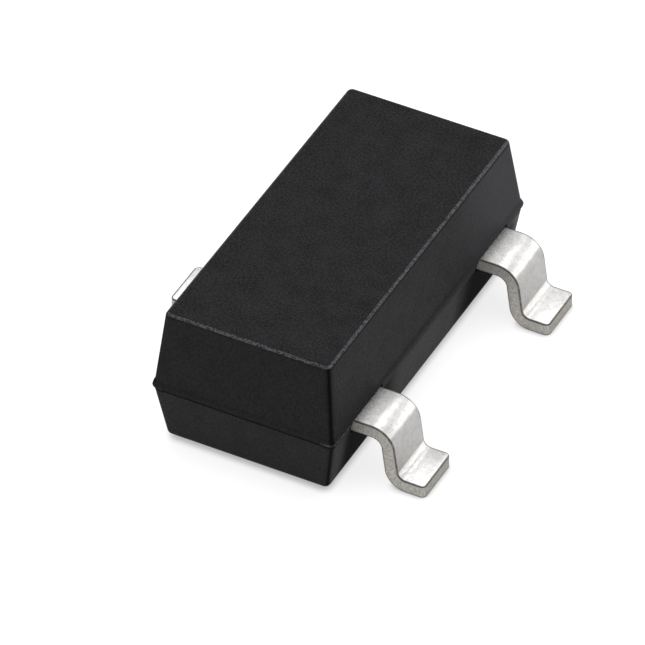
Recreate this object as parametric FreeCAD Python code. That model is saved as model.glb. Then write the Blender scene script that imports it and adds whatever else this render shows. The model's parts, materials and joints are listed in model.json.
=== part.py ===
import FreeCAD, Part
import math
import os

from FreeCAD import Vector

# Three-lead small-outline transistor, registered outline TO-236AB, at its real size.
# Millimetres and degrees. The board surface under the feet is z = 0, the origin lies
# under the middle of the body, +X is the side with two leads, +Y runs along the body.

# Moulded body, measured at the parting plane without flash
BODY_LENGTH = 2.90
BODY_WIDTH = 1.40
OVERALL_HEIGHT = 1.11
STANDOFF = 0.03
PARTING_HEIGHT = 0.50

# Draft of the four mould walls above and below the parting plane
UPPER_END_DRAFT = 7.5
UPPER_SIDE_DRAFT = 6.0
LOWER_END_DRAFT = 6.5
LOWER_SIDE_DRAFT = 8.5

# Rounded edges of the moulding
WALL_CORNER_RADIUS = 0.045
TOP_EDGE_RADIUS = 0.025
BOTTOM_EDGE_RADIUS = 0.035

# Thin bead of flash squeezed out where the two mould halves close
FLASH_REACH = 0.014
FLASH_THICKNESS = 0.034
FLASH_BEVEL = 0.010

# Lead strip and the gull-wing form of each lead
STRIP_THICKNESS = 0.10
LEAD_WIDTH = 0.40
LEAD_PITCH = 1.90
LEAD_SPAN = 2.50
FOOT_LENGTH = 0.15
LEG_ANGLE = 83.0
KNEE_RADIUS = 0.08
ANKLE_RADIUS = 0.06
STRIP_EDGE_BEVEL = 0.010
TIP_CORNER_RADIUS = 0.040

# Flat part of the lead frame that stays inside the moulding
FORMED_DEPTH = 0.06
HEAD_EAR = 0.08
HEAD_DEPTH = 0.22
HEAD_EDGE_COVER = 0.30
STAMPING_GAP = 0.17
PAD_SIDE_COVER = 0.30
PAD_CORNER_RADIUS = 0.05
HEAD_CORNER_RADIUS = 0.03
LOCK_NOTCH_RADIUS = 0.05

# Die with its two contact squares, and the layer that fixes it to the pad
DIE_SIDE = 0.40
DIE_THICKNESS = 0.15
CONTACT_SIDE = 0.095
CONTACT_THICKNESS = 0.003
CONTACT_FROM_DIE_EDGE = 0.090
ATTACH_THICKNESS = 0.015
ATTACH_SQUEEZE_TOP = 0.010
ATTACH_SQUEEZE_FOOT = 0.025

# Gold bond wires: ball on the die, low loop, flattened stitch on the lead
WIRE_DIAMETER = 0.025
BALL_DIAMETER = 0.070
BALL_FOOT_DIAMETER = 0.056
BALL_NECK_DIAMETER = 0.040
BALL_HEIGHT = 0.020
LOOP_RISE = 0.160
LOOP_SHOULDER = 0.55
RISE_BEND_RADIUS = 0.045
FALL_BEND_RADIUS = 0.120
STITCH_LENGTH = 0.080
STITCH_HEEL_WIDTH = 0.034
STITCH_TOE_WIDTH = 0.060
STITCH_HEEL_THICKNESS = 0.014
STITCH_TOE_THICKNESS = 0.005
STITCH_FROM_LEAD_AXIS = 0.110

# Levels and places that follow from the sizes above
LEAD_TOP = PARTING_HEIGHT
LEAD_UNDERSIDE = LEAD_TOP - STRIP_THICKNESS
FORMED_START = BODY_WIDTH / 2 - FORMED_DEPTH
HEAD_OUTER_X = BODY_WIDTH / 2 - HEAD_EDGE_COVER
HEAD_INNER_X = HEAD_OUTER_X - HEAD_DEPTH
HEAD_LENGTH = LEAD_WIDTH + 2 * HEAD_EAR
PAD_LENGTH = LEAD_PITCH - HEAD_LENGTH - 2 * STAMPING_GAP
PAD_WIDTH = BODY_WIDTH - 2 * PAD_SIDE_COVER
ATTACH_TOP = LEAD_TOP + ATTACH_THICKNESS
DIE_TOP = ATTACH_TOP + DIE_THICKNESS
CONTACT_PLACE = DIE_SIDE / 2 - CONTACT_FROM_DIE_EDGE

# Two points nearer than this are the same point
SAME = 1e-6


def rounded_outline(length, width, radius, height):
    """Closed rounded rectangle, width along X and length along Y, at one height."""
    half_x = width / 2 - radius
    half_y = length / 2 - radius
    diagonal = radius * math.sqrt(0.5)
    corners = [(half_x, half_y), (-half_x, half_y), (-half_x, -half_y), (half_x, -half_y)]
    turns = [((1, 0), (0, 1)), ((0, 1), (-1, 0)), ((-1, 0), (0, -1)), ((0, -1), (1, 0))]
    arcs = []
    for (cx, cy), (start, end) in zip(corners, turns):
        first = Vector(cx + radius * start[0], cy + radius * start[1], height)
        middle = Vector(cx + diagonal * (start[0] + end[0]), cy + diagonal * (start[1] + end[1]), height)
        last = Vector(cx + radius * end[0], cy + radius * end[1], height)
        arcs.append((first, middle, last))
    edges = []
    for index, (first, middle, last) in enumerate(arcs):
        edges.append(Part.Arc(first, middle, last).toShape())
        edges.append(Part.LineSegment(last, arcs[(index + 1) % 4][0]).toShape())
    return Part.Wire(edges)


def level_edges(shape, height):
    """Edges of a solid that lie wholly at one height."""
    return [edge for edge in shape.Edges if all(abs(v.Z - height) < SAME for v in edge.Vertexes)]


def mould_half(face_height, end_draft, side_draft, edge_radius):
    """One half of the moulding, from the parting plane to its drafted, rounded face."""
    rise = abs(face_height - PARTING_HEIGHT)
    face_length = BODY_LENGTH - 2 * rise * math.tan(math.radians(end_draft))
    face_width = BODY_WIDTH - 2 * rise * math.tan(math.radians(side_draft))
    parting = rounded_outline(BODY_LENGTH, BODY_WIDTH, WALL_CORNER_RADIUS, PARTING_HEIGHT)
    face = rounded_outline(face_length, face_width, WALL_CORNER_RADIUS, face_height)
    half = Part.makeLoft([parting, face], True, True)
    return half.makeFillet(edge_radius, level_edges(half, face_height))


def flash_bead():
    """Bead all round the body at the parting plane, with softened edges."""
    low = PARTING_HEIGHT - FLASH_THICKNESS / 2
    outline = rounded_outline(BODY_LENGTH + 2 * FLASH_REACH, BODY_WIDTH + 2 * FLASH_REACH,
                              WALL_CORNER_RADIUS + FLASH_REACH, low)
    bead = Part.Face(outline).extrude(Vector(0, 0, FLASH_THICKNESS))
    rims = level_edges(bead, low) + level_edges(bead, low + FLASH_THICKNESS)
    return bead.makeChamfer(FLASH_BEVEL, rims)


def moulding_blank():
    """The moulding before the metal inside it is taken out."""
    upper = mould_half(OVERALL_HEIGHT, UPPER_END_DRAFT, UPPER_SIDE_DRAFT, TOP_EDGE_RADIUS)
    lower = mould_half(STANDOFF, LOWER_END_DRAFT, LOWER_SIDE_DRAFT, BOTTOM_EDGE_RADIUS)
    return upper.fuse([lower, flash_bead()]).removeSplitter()


def gull_wing_profile():
    """Side outline of the strip outside the body: shoulder, knee, leg, ankle and foot."""
    angle = math.radians(LEG_ANGLE)
    sine, cosine = math.sin(angle), math.cos(angle)
    half_sine, half_cosine = math.sin(angle / 2), math.cos(angle / 2)
    knee_outer = KNEE_RADIUS + STRIP_THICKNESS
    ankle_outer = ANKLE_RADIUS + STRIP_THICKNESS
    knee_z = LEAD_UNDERSIDE - KNEE_RADIUS
    ankle_z = STRIP_THICKNESS + ANKLE_RADIUS
    leg = (knee_z - ankle_z + (knee_outer + ANKLE_RADIUS) * cosine) / sine
    tip_x = LEAD_SPAN / 2
    ankle_x = tip_x - FOOT_LENGTH
    knee_x = ankle_x - (knee_outer + ANKLE_RADIUS) * sine - leg * cosine

    def on_knee(radius, across, up):
        return Vector(knee_x + radius * across, 0, knee_z + radius * up)

    def on_ankle(radius, across, up):
        return Vector(ankle_x - radius * across, 0, ankle_z - radius * up)

    top_start = Vector(FORMED_START, 0, LEAD_TOP)
    top_knee = [on_knee(knee_outer, 0, 1), on_knee(knee_outer, half_sine, half_cosine),
                on_knee(knee_outer, sine, cosine)]
    top_ankle = [on_ankle(ANKLE_RADIUS, sine, cosine), on_ankle(ANKLE_RADIUS, half_sine, half_cosine),
                 on_ankle(ANKLE_RADIUS, 0, 1)]
    tip_top = Vector(tip_x, 0, STRIP_THICKNESS)
    tip_bottom = Vector(tip_x, 0, 0)
    low_ankle = [on_ankle(ankle_outer, 0, 1), on_ankle(ankle_outer, half_sine, half_cosine),
                 on_ankle(ankle_outer, sine, cosine)]
    low_knee = [on_knee(KNEE_RADIUS, sine, cosine), on_knee(KNEE_RADIUS, half_sine, half_cosine),
                on_knee(KNEE_RADIUS, 0, 1)]
    low_start = Vector(FORMED_START, 0, LEAD_UNDERSIDE)
    edges = [
        Part.LineSegment(top_start, top_knee[0]),
        Part.Arc(*top_knee),
        Part.LineSegment(top_knee[2], top_ankle[0]),
        Part.Arc(*top_ankle),
        Part.LineSegment(top_ankle[2], tip_top),
        Part.LineSegment(tip_top, tip_bottom),
        Part.LineSegment(tip_bottom, low_ankle[0]),
        Part.Arc(*low_ankle),
        Part.LineSegment(low_ankle[2], low_knee[0]),
        Part.Arc(*low_knee),
        Part.LineSegment(low_knee[2], low_start),
        Part.LineSegment(low_start, top_start),
    ]
    return Part.Wire([edge.toShape() for edge in edges])


def formed_strip():
    """The bent strip of one lead, centred on y = 0, with its stamped edges softened."""
    strip = Part.Face(gull_wing_profile()).extrude(Vector(0, LEAD_WIDTH, 0))
    strip.translate(Vector(0, -LEAD_WIDTH / 2, 0))
    tip_x = LEAD_SPAN / 2
    tip_corners = [edge for edge in strip.Edges
                   if abs(edge.CenterOfMass.x - tip_x) < SAME and abs(edge.CenterOfMass.y) > SAME]
    strip = strip.makeFillet(TIP_CORNER_RADIUS, tip_corners)
    rims = []
    for edge in strip.Edges:
        middle = edge.CenterOfMass
        bend_line = abs(middle.y) < SAME and middle.x < tip_x - SAME
        buried_end = middle.x < FORMED_START + SAME
        tip_upright = middle.x > tip_x - 2 * TIP_CORNER_RADIUS and abs(middle.z - STRIP_THICKNESS / 2) < SAME
        if not (bend_line or buried_end or tip_upright):
            rims.append(edge)
    return strip.makeChamfer(STRIP_EDGE_BEVEL, rims)


def flat_plate(x_low, x_high, length, corner_radius=0.0):
    """Rectangle of flat strip at the lead level, centred on y = 0."""
    plate = Part.makeBox(x_high - x_low, length, STRIP_THICKNESS,
                         Vector(x_low, -length / 2, LEAD_UNDERSIDE))
    if corner_radius:
        upright = [edge for edge in plate.Edges
                   if abs(edge.Vertexes[0].Z - edge.Vertexes[1].Z) > STRIP_THICKNESS / 2]
        plate = plate.makeFillet(corner_radius, upright)
    return plate


def bonded_lead(side):
    """Base or emitter lead: the formed strip, its neck and a wider head for the wire."""
    neck = flat_plate(HEAD_OUTER_X - HEAD_DEPTH / 2, FORMED_START, LEAD_WIDTH)
    head = flat_plate(HEAD_INNER_X, HEAD_OUTER_X, HEAD_LENGTH, HEAD_CORNER_RADIUS)
    lead = formed_strip().fuse([neck, head]).removeSplitter()
    lead.translate(Vector(0, side * LEAD_PITCH / 2, 0))
    return lead


def collector_lead():
    """Third lead: one strip from the foot to the pad that carries the die."""
    pad = flat_plate(-PAD_WIDTH / 2, PAD_WIDTH / 2, PAD_LENGTH, PAD_CORNER_RADIUS)
    neck = flat_plate(PAD_WIDTH / 2 - PAD_CORNER_RADIUS, FORMED_START, LEAD_WIDTH)
    notch_x = PAD_WIDTH / 2 + (FORMED_START - PAD_WIDTH / 2) / 2
    notches = [Part.makeCylinder(LOCK_NOTCH_RADIUS, STRIP_THICKNESS,
                                 Vector(notch_x, side * LEAD_WIDTH / 2, LEAD_UNDERSIDE))
               for side in (-1, 1)]
    lead = formed_strip().fuse([neck.cut(notches), pad]).removeSplitter()
    lead.rotate(Vector(0, 0, 0), Vector(0, 0, 1), 180)
    return lead


def silicon_die():
    """Sawn square of silicon with a thin contact for each wire on its top."""
    die = Part.makeBox(DIE_SIDE, DIE_SIDE, DIE_THICKNESS, Vector(-DIE_SIDE / 2, -DIE_SIDE / 2, ATTACH_TOP))
    contacts = [Part.makeBox(CONTACT_SIDE, CONTACT_SIDE, CONTACT_THICKNESS,
                             Vector(CONTACT_PLACE - CONTACT_SIDE / 2,
                                    side * CONTACT_PLACE - CONTACT_SIDE / 2, DIE_TOP))
                for side in (-1, 1)]
    return die.fuse(contacts)


def rectangle(centre, along, across, height):
    """Closed rectangle in a level plane, along X and across Y, at one height."""
    corners = [centre + Vector(x * along / 2, y * across / 2, height)
               for x, y in ((1, 1), (-1, 1), (-1, -1), (1, -1))]
    return Part.makePolygon(corners + corners[:1])


def die_attach():
    """Thin bonding layer that squeezes out a little round the die."""
    foot_side = DIE_SIDE + 2 * ATTACH_SQUEEZE_FOOT
    top_side = DIE_SIDE + 2 * ATTACH_SQUEEZE_TOP
    foot = rectangle(Vector(0, 0, 0), foot_side, foot_side, LEAD_TOP)
    top = rectangle(Vector(0, 0, 0), top_side, top_side, ATTACH_TOP)
    return Part.makeLoft([foot, top], True, True)


def bent_path(points, radii):
    """Straight runs through the points, joined at each inner point by a tangent arc."""
    edges = []
    run_start = points[0]
    for before, corner, after, radius in zip(points, points[1:], points[2:], radii):
        back = (before - corner).normalize()
        ahead = (after - corner).normalize()
        half_angle = back.getAngle(ahead) / 2
        arc_start = corner + back * (radius / math.tan(half_angle))
        arc_end = corner + ahead * (radius / math.tan(half_angle))
        bisector = (back + ahead).normalize()
        arc_middle = corner + bisector * (radius / math.sin(half_angle) - radius)
        edges.append(Part.LineSegment(run_start, arc_start).toShape())
        edges.append(Part.Arc(arc_start, arc_middle, arc_end).toShape())
        run_start = arc_end
    edges.append(Part.LineSegment(run_start, points[-1]).toShape())
    return Part.Wire(edges)


def bond_ball(place):
    """Squashed ball at the start of a wire: widest at half its height."""
    half = BALL_HEIGHT / 2
    lower = Part.makeCone(BALL_FOOT_DIAMETER / 2, BALL_DIAMETER / 2, half, place)
    upper = Part.makeCone(BALL_DIAMETER / 2, BALL_NECK_DIAMETER / 2, half, place + Vector(0, 0, half))
    return lower.fuse(upper)


def bond_stitch(place, direction):
    """Flattened end of a wire: a thin fan that widens and thins along the wire."""
    def section(distance, width, thickness):
        corners = [Vector(distance, y, z) for y, z in ((-width / 2, 0), (width / 2, 0),
                                                       (width / 2, thickness), (-width / 2, thickness))]
        return Part.makePolygon(corners + corners[:1])

    heel = section(-STITCH_LENGTH / 2, STITCH_HEEL_WIDTH, STITCH_HEEL_THICKNESS)
    toe = section(STITCH_LENGTH / 2, STITCH_TOE_WIDTH, STITCH_TOE_THICKNESS)
    stitch = Part.makeLoft([heel, toe], True, True)
    stitch.rotate(Vector(0, 0, 0), Vector(0, 0, 1), math.degrees(math.atan2(direction.y, direction.x)))
    stitch.translate(place)
    return stitch


def bond_wire(side):
    """Gold wire from a ball on the die to a stitch on the head of the lead at that side."""
    ball_place = Vector(CONTACT_PLACE, side * CONTACT_PLACE, DIE_TOP + CONTACT_THICKNESS)
    stitch_place = Vector((HEAD_INNER_X + HEAD_OUTER_X) / 2,
                          side * (LEAD_PITCH / 2 - STITCH_FROM_LEAD_AXIS), LEAD_TOP)
    level = Vector(stitch_place.x - ball_place.x, stitch_place.y - ball_place.y, 0)
    loop_top = ball_place + Vector(0, 0, LOOP_RISE)
    shoulder = loop_top + level * LOOP_SHOULDER
    fall = (stitch_place - shoulder).normalize()
    run_out = stitch_place + fall * WIRE_DIAMETER
    path = bent_path([ball_place + Vector(0, 0, BALL_HEIGHT / 2), loop_top, shoulder, run_out],
                     [RISE_BEND_RADIUS, FALL_BEND_RADIUS])
    section = Part.Wire(Part.makeCircle(WIRE_DIAMETER / 2, path.Vertexes[0].Point, Vector(0, 0, 1)))
    wire = path.makePipeShell([section], True, True)
    lead_below = Part.makeBox(BODY_WIDTH, BODY_LENGTH, STRIP_THICKNESS,
                              Vector(-BODY_WIDTH / 2, -BODY_LENGTH / 2, LEAD_UNDERSIDE))
    ends = [bond_ball(ball_place), bond_stitch(stitch_place, level)]
    return wire.cut(lead_below).fuse(ends).removeSplitter()


def moulded_body(inner_pieces):
    """The moulding, filled tightly round every piece that it holds."""
    return moulding_blank().cut(inner_pieces)


held_pieces = {
    "collector_lead": collector_lead(),
    "base_lead": bonded_lead(-1),
    "emitter_lead": bonded_lead(1),
    "die_attach": die_attach(),
    "silicon_die": silicon_die(),
    "base_bond_wire": bond_wire(-1),
    "emitter_bond_wire": bond_wire(1),
}
nodes = {"mould_body": moulded_body(list(held_pieces.values())), **held_pieces}

os.makedirs("parts", exist_ok=True)
for name, shape in nodes.items():
    piece = shape.Solids[0] if len(shape.Solids) == 1 else shape
    piece.exportStep("parts/" + name + ".step")
    box = piece.BoundBox
    print(f"{name}: {len(shape.Solids)} solid, volume {piece.Volume:.5f} mm3, "
          f"{box.XLength:.3f} x {box.YLength:.3f} x {box.ZLength:.3f} mm, valid {piece.isValid()}")
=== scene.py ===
# %% [markdown]
# # A three-lead surface-mount transistor
#
# The real thing is under three millimetres long. A strip of thin metal is stamped into a lead frame, a
# speck of silicon is bonded to its pad, two gold wires join the silicon to the other leads, and black epoxy
# is pressed round all of it. The engineering model already holds every piece at its real size. In this
# lesson we model the moulding and the three leads again with the tools a modeller uses by hand, because
# they are what the eye sees, and we keep the sealed inner pieces as they are. Then every piece gets the
# finish that its real material has.

# %% Load the fixed frame
import json
import math

import bpy
from mathutils import Matrix, Vector

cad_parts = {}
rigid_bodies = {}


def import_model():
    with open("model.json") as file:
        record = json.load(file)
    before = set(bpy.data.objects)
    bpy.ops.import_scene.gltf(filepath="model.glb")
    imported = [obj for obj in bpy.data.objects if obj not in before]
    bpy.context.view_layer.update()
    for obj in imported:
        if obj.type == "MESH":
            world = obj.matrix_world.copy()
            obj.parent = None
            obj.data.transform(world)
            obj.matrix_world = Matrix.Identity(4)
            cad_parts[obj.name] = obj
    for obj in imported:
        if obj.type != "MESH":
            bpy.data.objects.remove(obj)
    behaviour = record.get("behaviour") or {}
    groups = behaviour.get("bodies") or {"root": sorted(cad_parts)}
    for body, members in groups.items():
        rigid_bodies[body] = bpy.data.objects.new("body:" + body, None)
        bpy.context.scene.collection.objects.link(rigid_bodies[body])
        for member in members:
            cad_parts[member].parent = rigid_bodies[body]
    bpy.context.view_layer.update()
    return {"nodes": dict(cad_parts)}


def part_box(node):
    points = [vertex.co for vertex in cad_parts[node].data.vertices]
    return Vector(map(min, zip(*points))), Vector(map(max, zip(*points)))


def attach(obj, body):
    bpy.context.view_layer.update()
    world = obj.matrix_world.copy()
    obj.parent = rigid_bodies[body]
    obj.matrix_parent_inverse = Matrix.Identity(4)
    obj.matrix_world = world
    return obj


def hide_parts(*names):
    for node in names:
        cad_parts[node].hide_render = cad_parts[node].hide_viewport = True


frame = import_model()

print("nodes in the frame:", ", ".join(sorted(frame["nodes"])))

# %% [markdown]
# Blender's merge and bisect tools treat points that lie within a ten-thousandth of a unit as one point. In
# metres that is a tenth of a millimetre, and many edges here are smaller. So each piece is modelled with
# its millimetre sizes as plain numbers, and shrunk to metres when it is finished.

# %% Read sizes in millimetres
MM_PER_METRE = 1000.0
SAME_PLACE = 1e-4


def box_mm(node):
    """Lowest and highest corner of a node of the frame, in millimetres."""
    low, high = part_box(node)
    return low * MM_PER_METRE, high * MM_PER_METRE


mould_low, mould_high = box_mm("mould_body")
lead_low, lead_high = box_mm("base_lead")
print("moulding, flash included:", [round(x, 3) for x in mould_high - mould_low], "mm")

# %% [markdown]
# By hand we would click the faces and edges to work on. A script has nobody to click, so it picks them by
# where they lie or where they point. These few helpers do only that: start with one piece and nothing
# selected, pick by a test, and apply one modifier.

# %% Helpers for picking and for modifiers


def only(piece):
    """Leaves edit mode and makes one piece the only selected and the active one."""
    if bpy.context.object and bpy.context.object.mode != "OBJECT":
        bpy.ops.object.mode_set(mode="OBJECT")
    bpy.ops.object.select_all(action="DESELECT")
    piece.select_set(True)
    bpy.context.view_layer.objects.active = piece


def pick(kind, test, within=False):
    """Selects the active piece's FACEs, EDGEs or VERTs that pass the test, and says how many they are.

    A face's test gets its centre and its normal, an edge's its two ends, a point's its place. With within
    set, only what is selected already can stay selected.
    """
    bpy.ops.object.mode_set(mode="EDIT")
    bpy.ops.mesh.select_mode(type=kind)
    bpy.ops.object.mode_set(mode="OBJECT")
    mesh = bpy.context.object.data
    items = {"FACE": mesh.polygons, "EDGE": mesh.edges, "VERT": mesh.vertices}[kind]
    places = [point.co.copy() for point in mesh.vertices]
    if kind == "FACE":
        passes = [test(face.center, face.normal) for face in items]
    elif kind == "EDGE":
        passes = [test(*(places[i] for i in edge.vertices)) for edge in items]
    else:
        passes = [test(place) for place in places]
    chosen = [bool(ok) and (item.select or not within) for item, ok in zip(items, passes)]
    for part in (mesh.polygons, mesh.edges, mesh.vertices):
        part.foreach_set("select", [False] * len(part))
    items.foreach_set("select", chosen)
    bpy.ops.object.mode_set(mode="EDIT")
    return sum(chosen)


def near(value, target, reach=SAME_PLACE):
    """True if two numbers are the same within a small reach."""
    return abs(value - target) < reach


def apply_modifier(piece, kind, **settings):
    """Adds a modifier to a piece, sets it and applies it."""
    only(piece)
    modifier = piece.modifiers.new(kind.lower(), kind)
    for name, value in settings.items():
        setattr(modifier, name, value)
    bpy.ops.object.modifier_apply(modifier=modifier.name)


print("helpers ready")

# %% [markdown]
# ## The moulding
#
# The black block comes out of a mould with two halves. Its four walls lean inwards above and below the
# plane where the halves close, so that it slides out, and a thin bead of flash stands round that plane. We
# could cut it from a cube, but it is simpler to start with the outline at the parting plane. Its corners
# are rounded once, and the walls grow up and down from it, each scaled by its draft, so the corners stay in
# line. The long edges are divided while the outline has no face, so that only they gain points, for the
# flash to ripple on.

# %% Draw the outline of the moulding at the parting plane
PARTING_HEIGHT = lead_high.z
FLASH_REACH = 0.014
WALL_CORNER_RADIUS = 0.045
CORNER_STEPS = 8
LONG_WALL_CUTS = 95
SHORT_WALL_CUTS = 45

body_width = 2 * (mould_high.x - FLASH_REACH)
body_length = 2 * (mould_high.y - FLASH_REACH)

bpy.ops.object.select_all(action="DESELECT")
bpy.ops.mesh.primitive_plane_add(size=1)
body = bpy.context.object
body.name = "moulded_block"
bpy.ops.object.mode_set(mode="EDIT")
bpy.ops.transform.resize(value=(body_width, body_length, 1), center_override=(0, 0, 0))
bpy.ops.transform.translate(value=(0, 0, PARTING_HEIGHT))
bpy.ops.mesh.bevel(affect="VERTICES", offset=WALL_CORNER_RADIUS, segments=CORNER_STEPS, profile=0.5)
bpy.ops.mesh.select_all(action="SELECT")
bpy.ops.mesh.delete(type="ONLY_FACE")
pick("EDGE", lambda a, b: (a - b).length > body_width)
bpy.ops.mesh.subdivide(number_cuts=LONG_WALL_CUTS)
pick("EDGE", lambda a, b: (a - b).length > body_width / 2)
bpy.ops.mesh.subdivide(number_cuts=SHORT_WALL_CUTS)
bpy.ops.mesh.select_all(action="SELECT")
bpy.ops.mesh.edge_face_add()
bpy.ops.object.mode_set(mode="OBJECT")
print("outline points:", len(body.data.vertices))

# %% [markdown]
# The upper half grows to the flat top and the lower half to the underside. The draft angles differ a little
# from wall to wall, as they do in a real mould, so the scale along the body and across it is worked out
# from each angle. The rounded rims come from a bevel of the loop of edges round each flat face.

# %% Raise the two drafted halves and round their rims
UPPER_DRAFT = {"end": 7.5, "side": 6.0}
LOWER_DRAFT = {"end": 6.5, "side": 8.5}
TOP_RIM_RADIUS = 0.025
BOTTOM_RIM_RADIUS = 0.035
RIM_STEPS = 5


def grow_half(level, draft):
    """Extrudes the selected outline to a level and draws it in by the draft of its walls."""
    rise = abs(level - PARTING_HEIGHT)
    across = 1 - 2 * rise * math.tan(math.radians(draft["side"])) / body_width
    along = 1 - 2 * rise * math.tan(math.radians(draft["end"])) / body_length
    bpy.ops.mesh.extrude_region_move(TRANSFORM_OT_translate={"value": (0, 0, level - PARTING_HEIGHT)})
    bpy.ops.transform.resize(value=(across, along, 1), center_override=(0, 0, 0))


def round_rim(level, radius):
    """Rounds the loop of edges round the flat face at one level."""
    count = pick("EDGE", lambda a, b: near(a.z, level) and near(b.z, level))
    bpy.ops.mesh.bevel(offset=radius, segments=RIM_STEPS, profile=0.5)
    return count


only(body)
pick("FACE", lambda centre, normal: True)
grow_half(mould_high.z, UPPER_DRAFT)
pick("FACE", lambda centre, normal: near(centre.z, PARTING_HEIGHT))
grow_half(mould_low.z, LOWER_DRAFT)
bpy.ops.mesh.select_all(action="SELECT")
bpy.ops.mesh.normals_make_consistent(inside=False)
print("rim edges:", round_rim(mould_high.z, TOP_RIM_RADIUS), round_rim(mould_low.z, BOTTOM_RIM_RADIUS))

# %% [markdown]
# Flash is resin that crept a few hundredths of a millimetre into the seam between the mould halves. It
# stands round the block as a low bead: the upper wall flares out to it, and under it the surface turns back
# sharply to the lower wall, which starts a little further out, because the two halves never meet quite
# flush. Bisects add a loop of edges at each height of the bead, and then each loop is scaled out by its
# reach.

# %% Push out the bead of flash
BEAD_RISE = 0.040
BEAD_DROP = 0.022
BEAD_STEPS = 4
BEAD_FLARE = 0.8
LEDGE_REACH = 0.004


def add_loop(height):
    """Cuts a loop of edges into the whole active piece at one height."""
    bpy.ops.mesh.select_all(action="SELECT")
    bpy.ops.mesh.bisect(plane_co=(0, 0, height), plane_no=(0, 0, 1))


def push_out(height, reach):
    """Scales the loop at one height, so that each wall stands out by a reach."""
    pick("VERT", lambda place: near(place.z, height))
    bpy.ops.transform.resize(value=(1 + 2 * reach / body_width, 1 + 2 * reach / body_length, 1),
                             center_override=(0, 0, 0))


bead = {PARTING_HEIGHT: FLASH_REACH}
for step in range(1, BEAD_STEPS + 1):
    share = step / BEAD_STEPS
    turned_back = (FLASH_REACH - LEDGE_REACH) * math.sqrt(1 - share ** 2)
    bead[PARTING_HEIGHT + BEAD_RISE * share] = FLASH_REACH * (1 - share) ** BEAD_FLARE
    bead[PARTING_HEIGHT - BEAD_DROP * share] = LEDGE_REACH + turned_back
only(body)
bpy.ops.object.mode_set(mode="EDIT")
for height in bead:
    if height != PARTING_HEIGHT:
        add_loop(height)
for height, reach in bead.items():
    push_out(height, reach)
bpy.ops.object.mode_set(mode="OBJECT")
print("moulding outside:", [round(x, 4) for x in body.dimensions], "mm")

# %% [markdown]
# Real flash is never even. A faint ripple is pressed into the bead by a Displace modifier, most at its
# crest, and only inwards, so that the block keeps its size.

# %% Ripple the bead
RIPPLE_DEPTH = 0.006
RIPPLE_LENGTH = 0.11

crest = body.vertex_groups.new(name="crest")
for point in body.data.vertices:
    share = abs(point.co.z - PARTING_HEIGHT) / BEAD_DROP
    if share < 1:
        crest.add([point.index], 1 - share, "ADD")
ripple = bpy.data.textures.new("flash_ripple", "CLOUDS")
ripple.noise_scale = RIPPLE_LENGTH
apply_modifier(body, "DISPLACE", texture=ripple, vertex_group="crest", mid_level=1.0, strength=RIPPLE_DEPTH)
print("points in the bead:", sum(1 for point in body.data.vertices if point.groups))

# %% [markdown]
# Smooth shading blends the light across neighbouring faces, and beside a tall flat wall a small rounded rim
# would smear its shading over the whole wall. An extra loop of edges close to each rim stops that. A bisect
# of the whole block adds such a loop at any height, and an inset does the same inside the flat faces. Two
# loops under the bead also bound the seam's painted shade, which reaches lower on the long sides than at the
# ends.

# %% Add loops that hold the flat faces flat
HOLDING_GAP = 0.012
SEAM_DEPTH = {"end": 0.034, "side": 0.048}

only(body)
bpy.ops.object.mode_set(mode="EDIT")
for height in (mould_high.z - TOP_RIM_RADIUS - HOLDING_GAP, PARTING_HEIGHT + BEAD_RISE + HOLDING_GAP,
               PARTING_HEIGHT - SEAM_DEPTH["end"], PARTING_HEIGHT - SEAM_DEPTH["side"],
               mould_low.z + BOTTOM_RIM_RADIUS + HOLDING_GAP):
    add_loop(height)
for level in (mould_high.z, mould_low.z):
    pick("FACE", lambda centre, normal: near(centre.z, level) and near(abs(normal.z), 1, 0.01))
    bpy.ops.mesh.inset(thickness=HOLDING_GAP)
bpy.ops.object.mode_set(mode="OBJECT")
print("moulding blank:", len(body.data.polygons), "faces")

# %% [markdown]
# The finish will need to know how near a point is to the middle of a rounded upright corner, where it
# paints a narrow band of shade. There the normal points as much along the body as across it, so the product
# of the two says it. It is stored now, before holes are cut in the walls, because their edges have slanting
# normals too.

# %% Mark the upright corners
CORNER_MARK = "corner_turn"
LEAST_SIDEWAYS = 0.3

marks = body.data.attributes.new(CORNER_MARK, "FLOAT", "POINT")
for point in body.data.vertices:
    sideways = point.normal.x ** 2 + point.normal.y ** 2
    if sideways > LEAST_SIDEWAYS:
        marks.data[point.index].value = 2 * abs(point.normal.x * point.normal.y) / sideways
print("points on upright corners:", sum(mark.value > 0.5 for mark in marks.data))

# %% [markdown]
# ## The leads
#
# Each lead is one piece of strip, a tenth of a millimetre thick. Inside the moulding it widens into a head
# for the bond wire, or into the pad under the silicon. Outside it makes a shoulder, a knee, a steep leg, an
# ankle and a foot. A curve with a bevel could give the bends, but not the wider head, so we do what the
# press does: start with the flat plate, draw a neck out of its edge, and bend the strip with spins.

# %% Work out the form of the bent strip
STRIP_THICKNESS = 0.10
LEAD_WIDTH = 0.40
LEG_ANGLE = math.radians(83.0)
KNEE_RADIUS = 0.08
ANKLE_RADIUS = 0.06
FOOT_LENGTH = 0.15
BEND_STEPS = 14
HALF_STRIP = STRIP_THICKNESS / 2

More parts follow.
